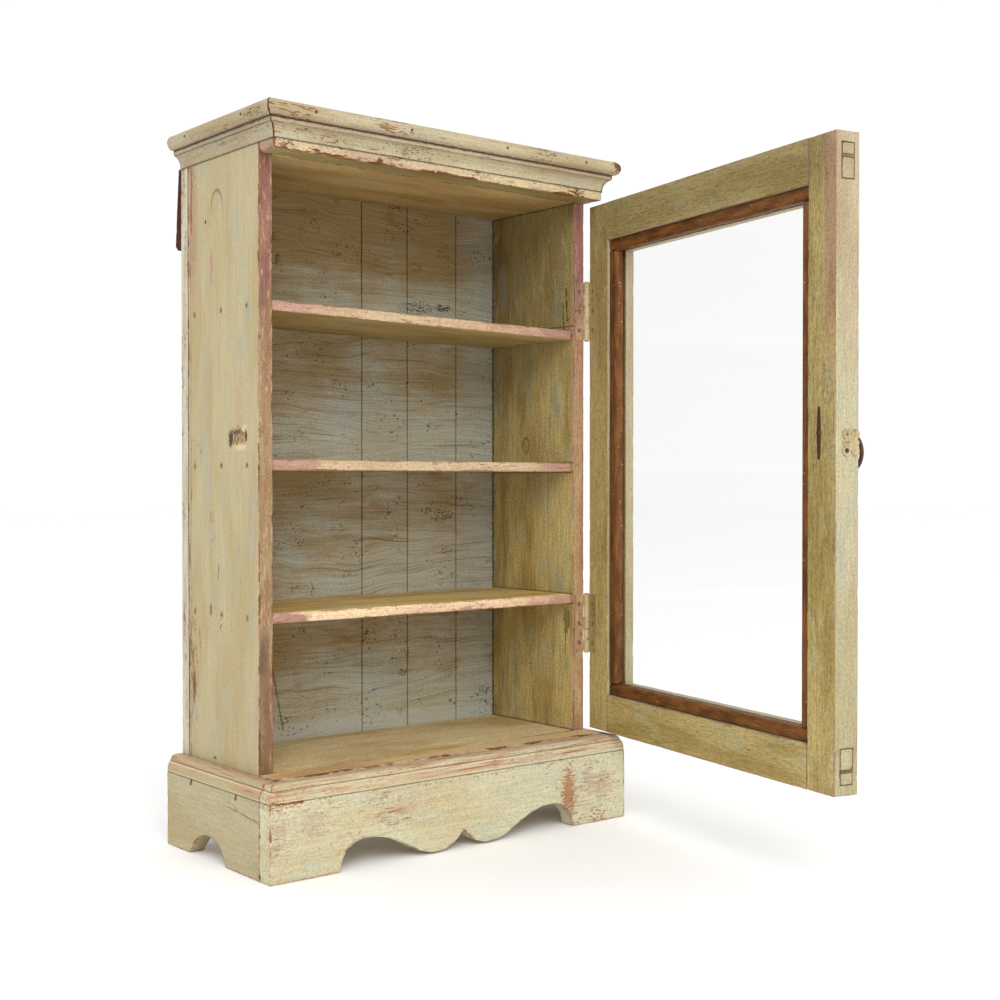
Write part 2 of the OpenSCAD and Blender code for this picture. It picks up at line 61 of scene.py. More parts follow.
def box_mm(node):
    """The low and the high corner of a CAD node's box."""
    low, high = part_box(node)
    return low / MM, high / MM


PANEL_LOW, PANEL_HIGH = box_mm("left_side_panel")
PLINTH_LOW, PLINTH_HIGH = box_mm("plinth_front")
X_OUT = -PANEL_LOW.x
SIDE_T = PANEL_HIGH.x - PANEL_LOW.x
X_IN = X_OUT - SIDE_T
Y_EDGE = PANEL_LOW.y
Y_INNER = PANEL_HIGH.y
Y_FRONT = box_mm("top_front_rail")[0].y
FLOOR_Z = box_mm("bottom_board")[1].z
CEILING_Z = box_mm("ceiling_board")[0].z
SHELVES = ("upper_shelf", "middle_shelf", "lower_shelf")
SHELF_Z = [box_mm(n)[1].z for n in SHELVES]
SHELF_T = SHELF_Z[1] - box_mm(SHELVES[1])[0].z
PLINTH_TOP = PLINTH_HIGH.z
CORNICE_LOW, CORNICE_HIGH = box_mm("cornice_front")
CORNICE_QUIRK = CORNICE_HIGH.z - 12.6  # the hollow under the upper bead

swing = next(j for j in frame["joints"] if j["name"] == "door_swing")
pin = Vector(swing["pos_m"])
DOOR_TURN = math.radians(-swing["range_deg"][0])
DOOR_OPEN = (
    Matrix.Translation(pin)
    @ Matrix.Rotation(DOOR_TURN, 4, Vector(swing["axis"]))
    @ Matrix.Translation(-pin)
)
CLOSED = Matrix.Identity(4)

# --- camera, floor and light ---

CAMERA_PLACE = Vector((-0.7135, -1.0068, 0.2934))
CAMERA_YAW = math.radians(39.08)
CAMERA_PITCH = math.radians(-0.74)
CAMERA_LENS = 52.69

FLOOR_HALF = 12  # m
FLOOR_HEIGHT = -0.0002  # m, just under the plinth
FLOOR_COLOUR = "fefefe"
SKY_STRENGTH = 1.01
KEY_PLACE = Vector((-1.3, -2.3, 2.0))
KEY_AIM = Vector((0, 0, 0.28))
KEY_SIZE = 1.5
KEY_POWER = 42


def srgb(code):
    """The linear RGBA colour of a six-digit sRGB hex code."""
    channels = [int(code[i : i + 2], 16) / 255 for i in (0, 2, 4)]
    return [c / 12.92 if c <= 0.04045 else ((c + 0.055) / 1.055) ** 2.4 for c in channels] + [1]


def make_camera():
    camera = bpy.data.objects.new("camera", bpy.data.cameras.new("camera"))
    bpy.context.scene.collection.objects.link(camera)
    camera.location = CAMERA_PLACE
    camera.rotation_euler = (math.pi / 2 + CAMERA_PITCH, 0, -CAMERA_YAW)
    camera.data.lens = CAMERA_LENS
    bpy.context.scene.camera = camera


def make_floor():
    mesh = bpy.data.meshes.new("floor")
    signs = ((-1, -1), (1, -1), (1, 1), (-1, 1))
    corners = [(x * FLOOR_HALF, y * FLOOR_HALF, FLOOR_HEIGHT) for x, y in signs]
    mesh.from_pydata(corners, [], [(0, 1, 2, 3)])
    floor = bpy.data.objects.new("floor", mesh)
    bpy.context.scene.collection.objects.link(floor)
    material = bpy.data.materials.new("floor")
    material.use_nodes = True
    shader = material.node_tree.nodes["Principled BSDF"]
    shader.inputs["Base Color"].default_value = srgb(FLOOR_COLOUR)
    shader.inputs["Roughness"].default_value = 0.8
    mesh.materials.append(material)


def make_key_light():
    light = bpy.data.lights.new("key", "AREA")
    light.size = KEY_SIZE
    light.energy = KEY_POWER
    lamp = bpy.data.objects.new("key", light)
    lamp.location = KEY_PLACE
    lamp.rotation_euler = (KEY_AIM - KEY_PLACE).to_track_quat("-Z", "Y").to_euler()
    bpy.context.scene.collection.objects.link(lamp)


def make_studio():
    scene = bpy.context.scene
    scene.view_settings.view_transform = "Standard"
    world = bpy.data.worlds.new("studio")
    scene.world = world
    world.use_nodes = True
    sky = world.node_tree.nodes["Background"]
    sky.inputs["Color"].default_value = (1, 1, 1, 1)
    sky.inputs["Strength"].default_value = SKY_STRENGTH
    make_key_light()


# --- boards ---


class Board:
    """How one CAD node becomes a worn board. Sizes are in mm."""

    def __init__(
        self, node, material, slot, body="carcass", ease=0.8, step=4.0, wave=0.3, chip=0.5
    ):
        self.node = node
        self.material = material
        self.slot = slot
        self.body = body
        self.ease = ease
        self.step = step
        self.wave = wave
        self.chip = chip
        self.turn = DOOR_OPEN if body == "door" else CLOSED


ARRIS_ANGLE = math.radians(25)
FLAT_ANGLE = math.radians(1)
NARROW = 0.9 * MM  # a face under this is a bevel or a rounding already
WELD = 0.01 * MM
FAR_MM = 200.0
WORN_REACH = 2.4  # mm in from an arris
CREASE_ANGLE = math.radians(40)


def width_of(face):
    """A long face's width, near enough."""
    return 2 * face.calc_area() / face.calc_perimeter()


def is_arris(edge):
    """A convex, sharp edge between two faces that are wide enough to be eased."""
    if len(edge.link_faces) != 2 or not edge.is_convex or edge.calc_face_angle() < ARRIS_ANGLE:
        return False
    return min(width_of(f) for f in edge.link_faces) > NARROW


def slice_faces(bm, faces, axis, places):
    """Cuts the faces at each place along an axis, halving the work at each cut."""
    if not places or not faces:
        return
    middle = len(places) // 2
    point, direction = Vector(), Vector()
    point[axis], direction[axis] = places[middle], 1
    edges = {e for f in faces for e in f.edges}
    verts = {v for f in faces for v in f.verts}
    cut = bmesh.ops.bisect_plane(
        bm, geom=[*faces, *edges, *verts], dist=WELD, plane_co=point, plane_no=direction
    )
    whole = [f for f in cut["geom"] if isinstance(f, bmesh.types.BMFace)]
    sides = {True: [], False: []}
    for face in whole:
        sides[face.calc_center_median()[axis] < places[middle]].append(face)
    slice_faces(bm, sides[True], axis, places[:middle])
    slice_faces(bm, sides[False], axis, places[middle + 1 :])


def distance_to(points, segments):
    """The distance from each point to the nearest segment."""
    nearest = np.full(len(points), FAR_MM)
    for a, b in segments:
        along = b - a
        t = np.clip(((points - a) @ along) / (along @ along), 0, 1)
        nearest = np.minimum(nearest, np.linalg.norm(points - a - t[:, None] * along, axis=1))
    return nearest


def rising(value, low, high):
    """Rises smoothly from 0 to 1 as the value goes from low to high."""
    t = min(1.0, max(0.0, (value - low) / (high - low)))
    return t * t * (3 - 2 * t)


def wear_depth(board, place, edge):
    """How deep the surface lies under the CAD face there: waviness and chips, in mm."""
    depth = board.wave * (0.5 + 0.5 * noise.noise(place / 55))
    worn = max(0.0, 1 - edge / WORN_REACH)
    ragged = 0.5 + 0.5 * noise.noise(place / 4 + Vector((9, 4, 1)))
    depth += 0.35 * board.chip * worn * ragged
    chance = noise.noise(place / 8 + Vector((3, 8, 5))) + 0.35 * noise.noise(place / 3)
    chip = rising(chance, 0.28, 0.55) * worn * board.chip
    return depth + chip, chip


def build_board(board):
    source = frame["nodes"][board.node]
    bm = bmesh.new()
    bm.from_mesh(source.data)
    bm.transform(board.turn.inverted())
    bmesh.ops.remove_doubles(bm, verts=bm.verts, dist=WELD)
    bmesh.ops.dissolve_limit(
        bm, angle_limit=FLAT_ANGLE, verts=bm.verts, edges=bm.edges, use_dissolve_boundaries=False
    )
    arrises = [e for e in bm.edges if is_arris(e)]
    lines = [[np.array(v.co) / MM for v in e.verts] for e in arrises]
    creases = [
        [np.array(v.co) / MM for v in e.verts]
        for e in bm.edges
        if len(e.link_faces) == 2 and not e.is_convex and e.calc_face_angle() > ARRIS_ANGLE
    ]
    bmesh.ops.bevel(
        bm,
        geom=arrises,
        offset=board.ease * MM,
        offset_type="OFFSET",
        segments=2,
        profile=0.5,
        affect="EDGES",
        clamp_overlap=True,
    )
    low = Vector([min(v.co[i] for v in bm.verts) for i in range(3)])
    high = Vector([max(v.co[i] for v in bm.verts) for i in range(3)])
    for axis in range(3):
        count = round((high[axis] - low[axis]) / (board.step * MM))
        places = [low[axis] + (high[axis] - low[axis]) * i / count for i in range(1, count)]
        slice_faces(bm, bm.faces[:], axis, places)
    bm.normal_update()
    places = np.array([v.co for v in bm.verts]) / MM
    edge = distance_to(places, lines)
    crease = distance_to(places, creases)
    chips = np.zeros(len(places))
    for i, vert in enumerate(bm.verts):
        depth, chips[i] = wear_depth(board, Vector(places[i]), edge[i])
        vert.co -= vert.normal * depth * MM
    mesh = bpy.data.meshes.new(board.node + "_board")
    bm.to_mesh(mesh)
    bm.free()
    for name, values in (("edge", edge), ("crease", crease), ("chip", chips)):
        held = mesh.attributes.new(name, "FLOAT", "POINT")
        held.data.foreach_set("value", values.astype(np.float32))
    mesh.shade_smooth()
    mesh.set_sharp_from_angle(angle=CREASE_ANGLE)
    mesh.materials.append(board.material)
    piece = bpy.data.objects.new(board.node + "_board", mesh)
    piece.matrix_world = board.turn
    bpy.context.scene.collection.objects.link(piece)
    even = piece.modifiers.new("even_normals", "WEIGHTED_NORMAL")
    even.keep_sharp = True
    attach(piece, board.body)
    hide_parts(board.node)


# --- material steps ---


class Field:
    """A number that varies over a surface. Arithmetic on it builds Math nodes."""

    def __init__(self, paint, socket):
        self.paint = paint
        self.socket = socket

    def math(self, operation, *others, clamp=False):
        node = self.paint.add("ShaderNodeMath", operation=operation, use_clamp=clamp)
        for socket, value in zip(node.inputs, (self, *others)):
            self.paint.feed(socket, value)
        return Field(self.paint, node.outputs[0])

    def __add__(self, other):
        return self.math("ADD", other)

    def __sub__(self, other):
        return self.math("SUBTRACT", other)

    def __rsub__(self, other):
        return (self * -1.0) + other

    def __mul__(self, other):
        return self.math("MULTIPLY", other)

    def __abs__(self):
        return self.math("ABSOLUTE")

    __radd__ = __add__
    __rmul__ = __mul__

    def most(self, other):
        return self.math("MAXIMUM", other)

    def flip(self):
        return 1.0 - self

    def step(self, low, high):
        """Rises smoothly from 0 to 1 as the number goes from low to high, whichever is greater."""
        node = self.paint.add("ShaderNodeMapRange", interpolation_type="SMOOTHSTEP")
        self.paint.feed(node.inputs["Value"], self)
        node.inputs["From Min"].default_value = low
        node.inputs["From Max"].default_value = high
        return Field(self.paint, node.outputs["Result"])


SEED_LEAPS = (7.31, 3.17, 5.53)


class Paint:
    """A material under construction. Its coordinates are the piece's own, in mm."""

    def __init__(self, name, grain="z", seed=0):
        self.material = bpy.data.materials.new(name)
        self.material.use_nodes = True
        self.tree = self.material.node_tree
        self.tree.nodes.clear()
        self.grain = "xyz".index(grain)
        self.seed = seed
        coordinates = self.add("ShaderNodeTexCoord")
        scale = self.add("ShaderNodeVectorMath", operation="SCALE")
        self.tree.links.new(coordinates.outputs["Object"], scale.inputs[0])
        scale.inputs["Scale"].default_value = 1 / MM
        self.place = scale.outputs["Vector"]
        self.axes = self.split(self.place)
        self.normal = self.split(coordinates.outputs["Normal"])
        self.attributes = {}

    def add(self, kind, **settings):
        node = self.tree.nodes.new(kind)
        for name, value in settings.items():
            setattr(node, name, value)
        return node

    def feed(self, socket, value):
        if isinstance(value, Field):
            self.tree.links.new(value.socket, socket)
        elif isinstance(value, bpy.types.NodeSocket):
            self.tree.links.new(value, socket)
        else:
            socket.default_value = value

    def split(self, vector):
        node = self.add("ShaderNodeSeparateXYZ")
        self.tree.links.new(vector, node.inputs[0])
        return [Field(self, s) for s in node.outputs]

    def attribute(self, name):
        """A number that the board's mesh holds at its points."""
        if name not in self.attributes:
            node = self.add("ShaderNodeAttribute", attribute_name=name)
            self.attributes[name] = Field(self, node.outputs["Fac"])
        return self.attributes[name]

    def chipped(self):
        """1 where the mesh is chipped."""
        return self.attribute("chip").step(0.2, 0.32)

    def along(self, length, width):
        """The size of a mark that is longer along the grain."""
        size = [width] * 3
        size[self.grain] = length
        return size

    def shifted(self, size, lift=None):
        """The place divided by size, on a fresh part of the pattern. lift bends it in z."""
        self.seed += 1
        place = self.place
        if lift is not None:
            bent = self.add("ShaderNodeCombineXYZ")
            for socket, value in zip(bent.inputs, (*self.axes[:2], self.axes[2] + lift)):
                self.feed(socket, value)
            place = bent.outputs[0]
        node = self.add("ShaderNodeMapping")
        self.tree.links.new(place, node.inputs["Vector"])
        node.inputs["Scale"].default_value = [1 / s for s in size]
        node.inputs["Location"].default_value = [self.seed * leap for leap in SEED_LEAPS]
        return node.outputs[0]

    def noise(self, size, detail=3.0, roughness=0.55, distortion=0.0, lift=None):
        node = self.add("ShaderNodeTexNoise")
        self.tree.links.new(self.shifted(size, lift), node.inputs["Vector"])
        node.inputs["Scale"].default_value = 1.0
        node.inputs["Detail"].default_value = detail
        node.inputs["Roughness"].default_value = roughness
        node.inputs["Distortion"].default_value = distortion
        return Field(self, node.outputs["Fac"])

    def dots(self, size, radius, share):
        """Scattered round dots of a radius, in parts of the size, over a share of the cells."""
        node = self.add("ShaderNodeTexVoronoi")
        self.tree.links.new(self.shifted(size), node.inputs["Vector"])
        node.inputs["Scale"].default_value = 1.0
        chosen = self.split(node.outputs["Color"])[0].step(1 - share, 1 - share + 0.05)
        return Field(self, node.outputs["Distance"]).step(radius, radius * 0.6) * chosen

    def spot(self, centre, radii, ragged=0.25, rim=0.35):
        """A ragged ellipse: 1 inside, 0 outside. rim is the share of the radius it fades over."""
        shift = self.add("ShaderNodeVectorMath", operation="SUBTRACT")
        self.tree.links.new(self.place, shift.inputs[0])
        shift.inputs[1].default_value = centre
        scale = self.add("ShaderNodeVectorMath", operation="DIVIDE")
        self.tree.links.new(shift.outputs[0], scale.inputs[0])
        scale.inputs[1].default_value = radii
        length = self.add("ShaderNodeVectorMath", operation="LENGTH")
        self.tree.links.new(scale.outputs[0], length.inputs[0])
        away = Field(self, length.outputs["Value"])
        if ragged:
            away = away + self.ragged(4 * ragged)
        return away.step(1 + rim / 2, 1 - rim / 2)

    def stroke(self, a, b, width, level=None, ragged=0.3):
        """A ragged line from a to b: 1 on it, 0 off it. level is an axis that is left out."""
        along = Vector(b) - Vector(a)
        shift = self.add("ShaderNodeVectorMath", operation="SUBTRACT")
        self.tree.links.new(self.place, shift.inputs[0])
        shift.inputs[1].default_value = a
        flat = self.add("ShaderNodeVectorMath", operation="MULTIPLY")
        self.tree.links.new(shift.outputs[0], flat.inputs[0])
        flat.inputs[1].default_value = [0.0 if level == axis else 1.0 for axis in "xyz"]
        share = self.add("ShaderNodeVectorMath", operation="DOT_PRODUCT")
        self.tree.links.new(flat.outputs[0], share.inputs[0])
        share.inputs[1].default_value = along / along.length_squared
        reach = Field(self, share.outputs["Value"]).math("MULTIPLY", 1.0, clamp=True)
        foot = self.add("ShaderNodeVectorMath", operation="SCALE")
        foot.inputs[0].default_value = along
        self.feed(foot.inputs["Scale"], reach)
        off = self.add("ShaderNodeVectorMath", operation="DISTANCE")
        self.tree.links.new(flat.outputs[0], off.inputs[0])
        self.tree.links.new(foot.outputs[0], off.inputs[1])
        away = Field(self, off.outputs["Value"]) + self.ragged(8 * ragged * width)
        return away.step(width * 0.75, width * 0.3)

    def rough_grain(self):
        """One ragged pattern that every spot and chip of the material shares."""
        if not hasattr(self, "shared_grain"):
            self.shared_grain = self.noise(self.along(3.2, 1.4), detail=5, roughness=0.7)
        return self.shared_grain

    def ragged(self, width):
        """An offset in mm that frays the outline of a mark, half its width each way."""
        return (self.rough_grain() - 0.5) * width

    def grit(self):
        """One fine, even grain that the whole material shares."""
        if not hasattr(self, "shared_grit"):
            self.shared_grit = self.noise((1.5, 1.5, 1.5), detail=3, roughness=0.6)
        return self.shared_grit

    def band(self, axis, at, half):
        """1 on a ragged line where the axis is at a place, to half its width each way."""
        off = abs(self.axes["xyz".index(axis)] - at) + self.ragged(half * 2.5)
        return off.step(half * 1.1, half * 0.5)

    def facing(self, axis, sign):
        """1 where the surface faces that way."""
        return (self.normal["xyz".index(axis)] * float(sign)).step(0.55, 0.8)

    def mix(self, share, a, b, blend="MIX"):
        node = self.add("ShaderNodeMix", data_type="RGBA", blend_type=blend, clamp_factor=True)
        for index, value in ((0, share), (6, a), (7, b)):
            self.feed(node.inputs[index], srgb(value) if isinstance(value, str) else value)
        return node.outputs[2]

    def shade(self, colour, amount):
        """The colour times a number."""
        node = self.add("ShaderNodeMix", data_type="RGBA", blend_type="MULTIPLY")
        self.feed(node.inputs[0], 1.0)
        self.feed(node.inputs[6], colour)
        self.feed(node.inputs[7], amount if isinstance(amount, Field) else (*[amount] * 3, 1))
        return node.outputs[2]

    def surface(self, colour, roughness, height, specular=0.25, **constants):
        """Ends the material: colour, roughness and height in mm are fields or numbers."""
        bump = self.add("ShaderNodeBump")
        bump.inputs["Distance"].default_value = MM
        self.feed(bump.inputs["Height"], height)
        shader = self.add("ShaderNodeBsdfPrincipled")
        self.feed(shader.inputs["Base Color"], colour)
        self.feed(shader.inputs["Roughness"], roughness)
        self.tree.links.new(bump.outputs[0], shader.inputs["Normal"])
        shader.inputs["Specular IOR Level"].default_value = specular
        for name, value in constants.items():
            shader.inputs[name.replace("_", " ").title()].default_value = value
        output = self.add("ShaderNodeOutputMaterial")
        self.tree.links.new(shader.outputs[0], output.inputs["Surface"])
        return self.material


# --- layers that the painted boards share ---

CREAM = ("b6a982", "b09e72", "aaa388")
DOOR_CREAM = ("b2a987", "a79c76", "a6a58f")
CREAM_PALE = ("c6c0a0", "c0b48e", "b9bca2")
GREIGE = ("b8ab8a", "aa9874", "b0a78d")
PINK = ("b58d7c", "96695f", "a87d72")
BROWN_EDGE = ("957a56", "886349", "a59068")
TAN_EDGE = ("b4946e", "a5795e", "c7ae84")
MAUVE = ("98695f", "82585a", "a87a6c")
DARK_MAUVE = ("83594b", "704a47", "916856")
TIMBER = ("835532", "633b22", "a06c3c")
OLIVE = ("a08e5c", "8a7442", "8f8a6c")
KHAKI = ("a6935f", "917d48", "9f966c")
# Dark colour for dirt, pits, marks and dark joints; in creases, hollows and grooves it is also
# painted shade.
DIRT_AND_SHADE = "33261a"


def tones(paint, colours, contrast=1.0):
    """A base tone that drifts towards two others, with fine marks along the grain."""
    base, second, third = colours
    broad = paint.noise(paint.along(140, 38), detail=2)
    patch = paint.noise(paint.along(50, 16), detail=4, roughness=0.6)
    marks = paint.noise(paint.along(26, 1.2), detail=4, roughness=0.65)
    colour = paint.mix(broad.step(0.42, 0.62), base, second)
    colour = paint.mix(patch.step(0.5, 0.7), colour, third)
    fine = (marks - 0.5) * (0.6 * contrast) + (paint.grit() - 0.5) * (0.75 * contrast)
    return paint.shade(colour, 1.0 + fine), marks


def worn_edges(paint, reach, floor=0.0):
    """1 where an arris has lost its coat. reach is how far in the loss comes, in mm."""
    drift = paint.noise(paint.along(24, 9), detail=3).step(0.44, 0.66)
    ragged = paint.ragged(3.2)
    return (paint.attribute("edge") + ragged - (drift * reach + floor)).step(0.3, -0.3)


def flakes(paint, size, share):
    """Small chips away from the arrises, in clusters. share is about 0 for few to 1 for many."""
    fine = paint.noise(paint.along(*size), detail=4, roughness=0.65)
    cluster = paint.noise(paint.along(55, 24), detail=3)
    return (fine + cluster * 0.7).step(1.13 - 0.16 * share, 1.17 - 0.16 * share)


def wood(paint, colours=TIMBER):
    """Bare timber: where a coat is gone, and on the beads and the cleat."""
    tone = paint.noise(paint.along(22, 6), detail=3)
    lines = paint.noise(paint.along(22, 0.9), detail=3)
    colour = paint.mix(tone.step(0.35, 0.65), colours[0], colours[1])
    colour = paint.mix(lines.step(0.52, 0.7), colour, colours[2])
    return paint.shade(colour, 1.0 + (paint.grit() - 0.5) * 1.0), lines


def coat(paint, colour, marks, bare, pink, spots=None, crease_dirt_and_shade=0.75, under=TIMBER):
    """Puts together a painted board: paint, then the older pink coat, then bare wood, with dirt and
    painted shade in its creases.
    """
    pink_tone, _ = tones(paint, PINK, 1.5)
    timber, lines = wood(paint, under)
    pits = paint.dots((6, 6, 6), 0.09, 0.3)
    specks = (paint.grit() + paint.noise(paint.along(30, 14), detail=3) * 0.5).step(0.95, 1.02)
    colour = paint.mix(pink, colour, pink_tone)
    colour = paint.mix(bare, colour, timber)
    # Dirt and painted shade: darker within about half a mm of concave creases.
    colour = paint.mix(paint.attribute("crease").step(0.55, 0.1) * crease_dirt_and_shade, colour, DIRT_AND_SHADE)
    colour = paint.mix((pits * 0.75).most(specks * 0.45), colour, DIRT_AND_SHADE)
    if spots is not None:
        colour = paint.mix(spots, colour, DIRT_AND_SHADE)
    height = bare.flip() * 0.14 + marks * 0.2 + lines * bare * 0.2
    height = height + paint.grit() * 0.12 - pits * 0.3
    roughness = 0.55 + bare * 0.25 + (marks - 0.5) * 0.3
    return paint.surface(colour, roughness, height)


def most_of(fields):
    """The greatest of several fields."""
    total = fields[0]
    for field in fields[1:]:
        total = total.most(field)
    return total


# --- the painted woods ---


def edge_coat(paint, mauve_from, mauve_full, low, high=MAUVE):
    """What is left on the front edges: low colours, old mauve higher up, and pale patches."""
    colour, marks = tones(paint, low, 1.8)
    mauve, _ = tones(paint, high, 1.6)
    height = paint.axes[2] + (paint.noise(paint.along(60, 12), detail=3) - 0.5) * 160
    colour = paint.mix(height.step(mauve_from, mauve_full), colour, mauve)
    pale = paint.noise(paint.along(14, 2.6), detail=5, roughness=0.7).step(0.55, 0.63)
    return paint.mix(pale * 0.7, colour, "c0a283"), marks


def side_paint(side):
    """Cream outside, a thin olive wash inside, tan and mauve on the front edge. The wash is painted
    darker high up and lighter low down, as shade and light.
    """
    paint = Paint(f"side_paint_{'left' if side < 0 else 'right'}", "z", 10 if side < 0 else 60)
    outside = paint.facing("x", side)
    inside = paint.facing("x", -side)
    front = paint.facing("y", -1)
    cream, marks = tones(paint, CREAM)
    cool = paint.noise(paint.along(90, 7), detail=4, roughness=0.6)
    cream = paint.mix(cool.step(0.54, 0.7) * 0.22, cream, "b7b3a2")
    cream = paint.shade(cream, 0.95)
    wash, wash_marks = tones(paint, OLIVE, 2.7)
    # Painted light and shade: the inner wash is darker towards the top and lighter lower down.
    wash = paint.shade(wash, paint.axes[2].step(500, 300) * 0.62 + 0.8)
    streaks = paint.noise((9, 9, 26), detail=5, roughness=0.6, distortion=0.8)
    wash = paint.mix(streaks.step(0.52, 0.7) * 0.4, wash, "7d7452")
    wash = paint.mix(streaks.step(0.45, 0.34) * 0.45, wash, "b3a060")
    gouges = paint.noise((2.2, 2.2, 12), detail=4, roughness=0.65) + paint.noise((30, 30, 30)) * 0.7
    wash = paint.mix(gouges.step(1.03, 1.12) * 0.6, wash, "4c3d20")
    if side < 0:
        edge_tone, _ = edge_coat(paint, 380, 480, BROWN_EDGE, DARK_MAUVE)
    else:
        edge_tone, _ = edge_coat(paint, 400, 490, TAN_EDGE)
    colour = paint.mix(inside, cream, wash)
    colour = paint.mix(front, colour, edge_tone)
    edge_x = side * X_OUT
    marked_x = edge_x if side < 0 else X_IN

    def mark(y, z, wide, high, *fade):
        """A spot on the face of this panel that the photograph shows."""
        return paint.spot((marked_x, y, z), (5, wide, high), *fade)

    nails = [
        paint.spot((edge_x, Y_EDGE + y, z - SHELF_T / 2), (4, 2.0, 3.0), 0.5)
        for y in (18, 58, 102)
        for z in SHELF_Z
    ]
    bare = worn_edges(paint, 1.4) * outside.most(front)
    bare = bare.most(flakes(paint, (4.5, 1.5), 0.15) * inside.flip())
    bare = bare.most(paint.chipped() * inside.flip())
    pink = (worn_edges(paint, 2.6, 0.3) * 0.55).most(flakes(paint, (18, 4), 0.25) * outside * 0.45)
    low_loss = (paint.axes[2] + paint.ragged(50)).step(192, 168)
    if side < 0:
        inner_strip = (paint.axes[0] * -1.0 + paint.ragged(5)).step(X_IN + 2, X_IN + 4.5)
        low_tone = paint.mix(paint.noise((5, 5, 30), detail=4).step(0.4, 0.62), "7c6446", "665036")
        colour = paint.mix(front * low_loss * inner_strip * 0.9, colour, low_tone)
        plug = paint.spot((edge_x, 20.6, 508), (6, 9.5, 13.5), 0.03, 0.12)
        inner_plug = paint.spot((edge_x, 20.6, 506), (6, 8.5, 12.8), 0.03, 0.12)
        latch = mark(-13, 327, 14, 7.5, 0.5, 0.12)
        splinters = paint.noise((3, 3, 4), detail=4, roughness=0.7)
        colour = paint.mix(latch, colour, paint.mix(splinters.step(0.42, 0.6), "ad8f5e", "7d6139"))
        pale_chips = mark(-17, 319, 9, 2.4, 0.9).most(mark(-22, 333, 4, 2.6, 0.9))
        colour = paint.mix(pale_chips, colour, "cfba8e")
        streak = mark(29.5, 461, 2.2, 15, 0.6)
        rub = mark(31, 265, 2.2, 5, 0.5)
        scrape = mark(59.5, 129, 2.6, 13, 0.8)
        rear = mark(64, 500, 10, 62, 0.9)
        rear_edge = (paint.axes[1] + paint.ragged(7)).step(Y_INNER - 5, Y_INNER - 1.5) * outside
        rear_patches = paint.noise(paint.along(34, 9), detail=3).step(0.48, 0.6)
        rear_line = paint.stroke((edge_x, 62, 544), (edge_x, 62.5, 492), 1.6, "x", 0.5)
        bare = most_of([bare, scrape * 0.9, rear_line * outside * 0.8])
        above_latch = mark(-13, 352, 6, 26, 0.7)
        pink = most_of(
            [pink, streak * 0.8, rub * 0.6, rear * 0.5, rear_edge * 0.25, above_latch * 0.35]
        )
        bare = bare.most(rear_edge * rear_patches * 0.8)
        rear_crack = paint.axes[1] + (paint.noise((9, 9, 60), detail=3) - 0.5) * 9 - (Y_INNER - 5)
        bare = bare.most(abs(rear_crack).step(1.1, 0.5) * rear_patches.most(0.35) * outside * 0.8)
        low_rub = mark(66, 135, 10, 48, 1.0) * flakes(paint, (14, 2.2), 1.9)
        bare = bare.most(low_rub * 0.8)
        pink = pink.most(mark(-54, 118, 16, 42, 0.9) * 0.35)
        marked = [
            (plug - inner_plug).most(0.0) * 0.5,
            mark(-1.5, 326, 3.4, 6.5, 0.7, 0.2) * 0.9,
            mark(-25, 328, 1.8, 4.5, 0.6, 0.2) * 0.9,
            mark(-10, 331, 8, 1.6, 0.9, 0.2) * 0.7,
            latch * splinters.step(0.54, 0.6) * 0.6,
            mark(31.3, 192, 1.6, 5) * 0.7,
            mark(39, 498, 1.2, 1.6),
            paint.stroke((edge_x, 18.6, 228), (edge_x, 19.5, 216), 0.7, "x"),
            paint.stroke((edge_x, 50.3, 176), (edge_x, 49.6, 160), 0.7, "x"),
            mark(25, 76, 2.5, 1.2) * 0.8,
        ]
    else:
        mauve = (paint.axes[2] + paint.ragged(30)).step(470, 486) * front
        pink = pink.most(mauve * 0.5)
        marked = [
            paint.stroke((marked_x, -34, 464), (marked_x, -36, 436), 1.6, "x", 0.5) * 0.9,
            paint.stroke((marked_x, -30, 452), (marked_x, -31, 425), 1.2, "x", 0.5) * 0.8,
            (mark(20.9, 326.5, 5, 7, 0.1) - mark(20.9, 326, 4, 6, 0.1)).most(0.0) * 0.8,
            mark(-35.5, 170, 4, 12, 0.6) * 0.6,
            paint.stroke((marked_x, -34, 160), (marked_x, -33, 140), 0.8, "x"),
        ]
        colour = paint.mix(mark(55, 473, 8, 22, 0.9) * 0.5, colour, "8d8b78")
    corner = (paint.axes[1] + paint.ragged(6)).step(Y_INNER - 1.4, Y_INNER - 0.2) * inside
    under = most_of([paint.band("z", z, 1.0) for z in [z - SHELF_T for z in SHELF_Z] + [CEILING_Z]])
    over = most_of([paint.band("z", z, 0.8) for z in SHELF_Z] + [paint.band("z", FLOOR_Z, 1.0)])
    joints = (corner * 0.85).most(under.most(over) * inside * 0.6)
    marked_face = outside if side < 0 else inside
    spots = most_of([field * 0.35 for field in nails] + [most_of(marked) * marked_face, joints])
    return coat(paint, colour, marks.most(wash_marks * inside), bare, pink, spots)


def moulding_paint(name, grain, seed, flake_share, reach, colours=CREAM, pink_share=0.0):
    """Cream paint on a moulded or scalloped board, chipped to pink and bare wood."""
    paint = Paint(name, grain, seed)
    colour, marks = tones(paint, colours, 1.2)
    bare = most_of(
        [
            worn_edges(paint, reach),
            flakes(paint, (3.6, 1.6), flake_share),
            paint.chipped(),
        ]
    )
    pink = worn_edges(paint, reach * 1.8, 0.3) * 0.6
    pink = pink.most(flakes(paint, (14, 3), pink_share) * 0.5)
    return paint, colour, marks, bare, pink


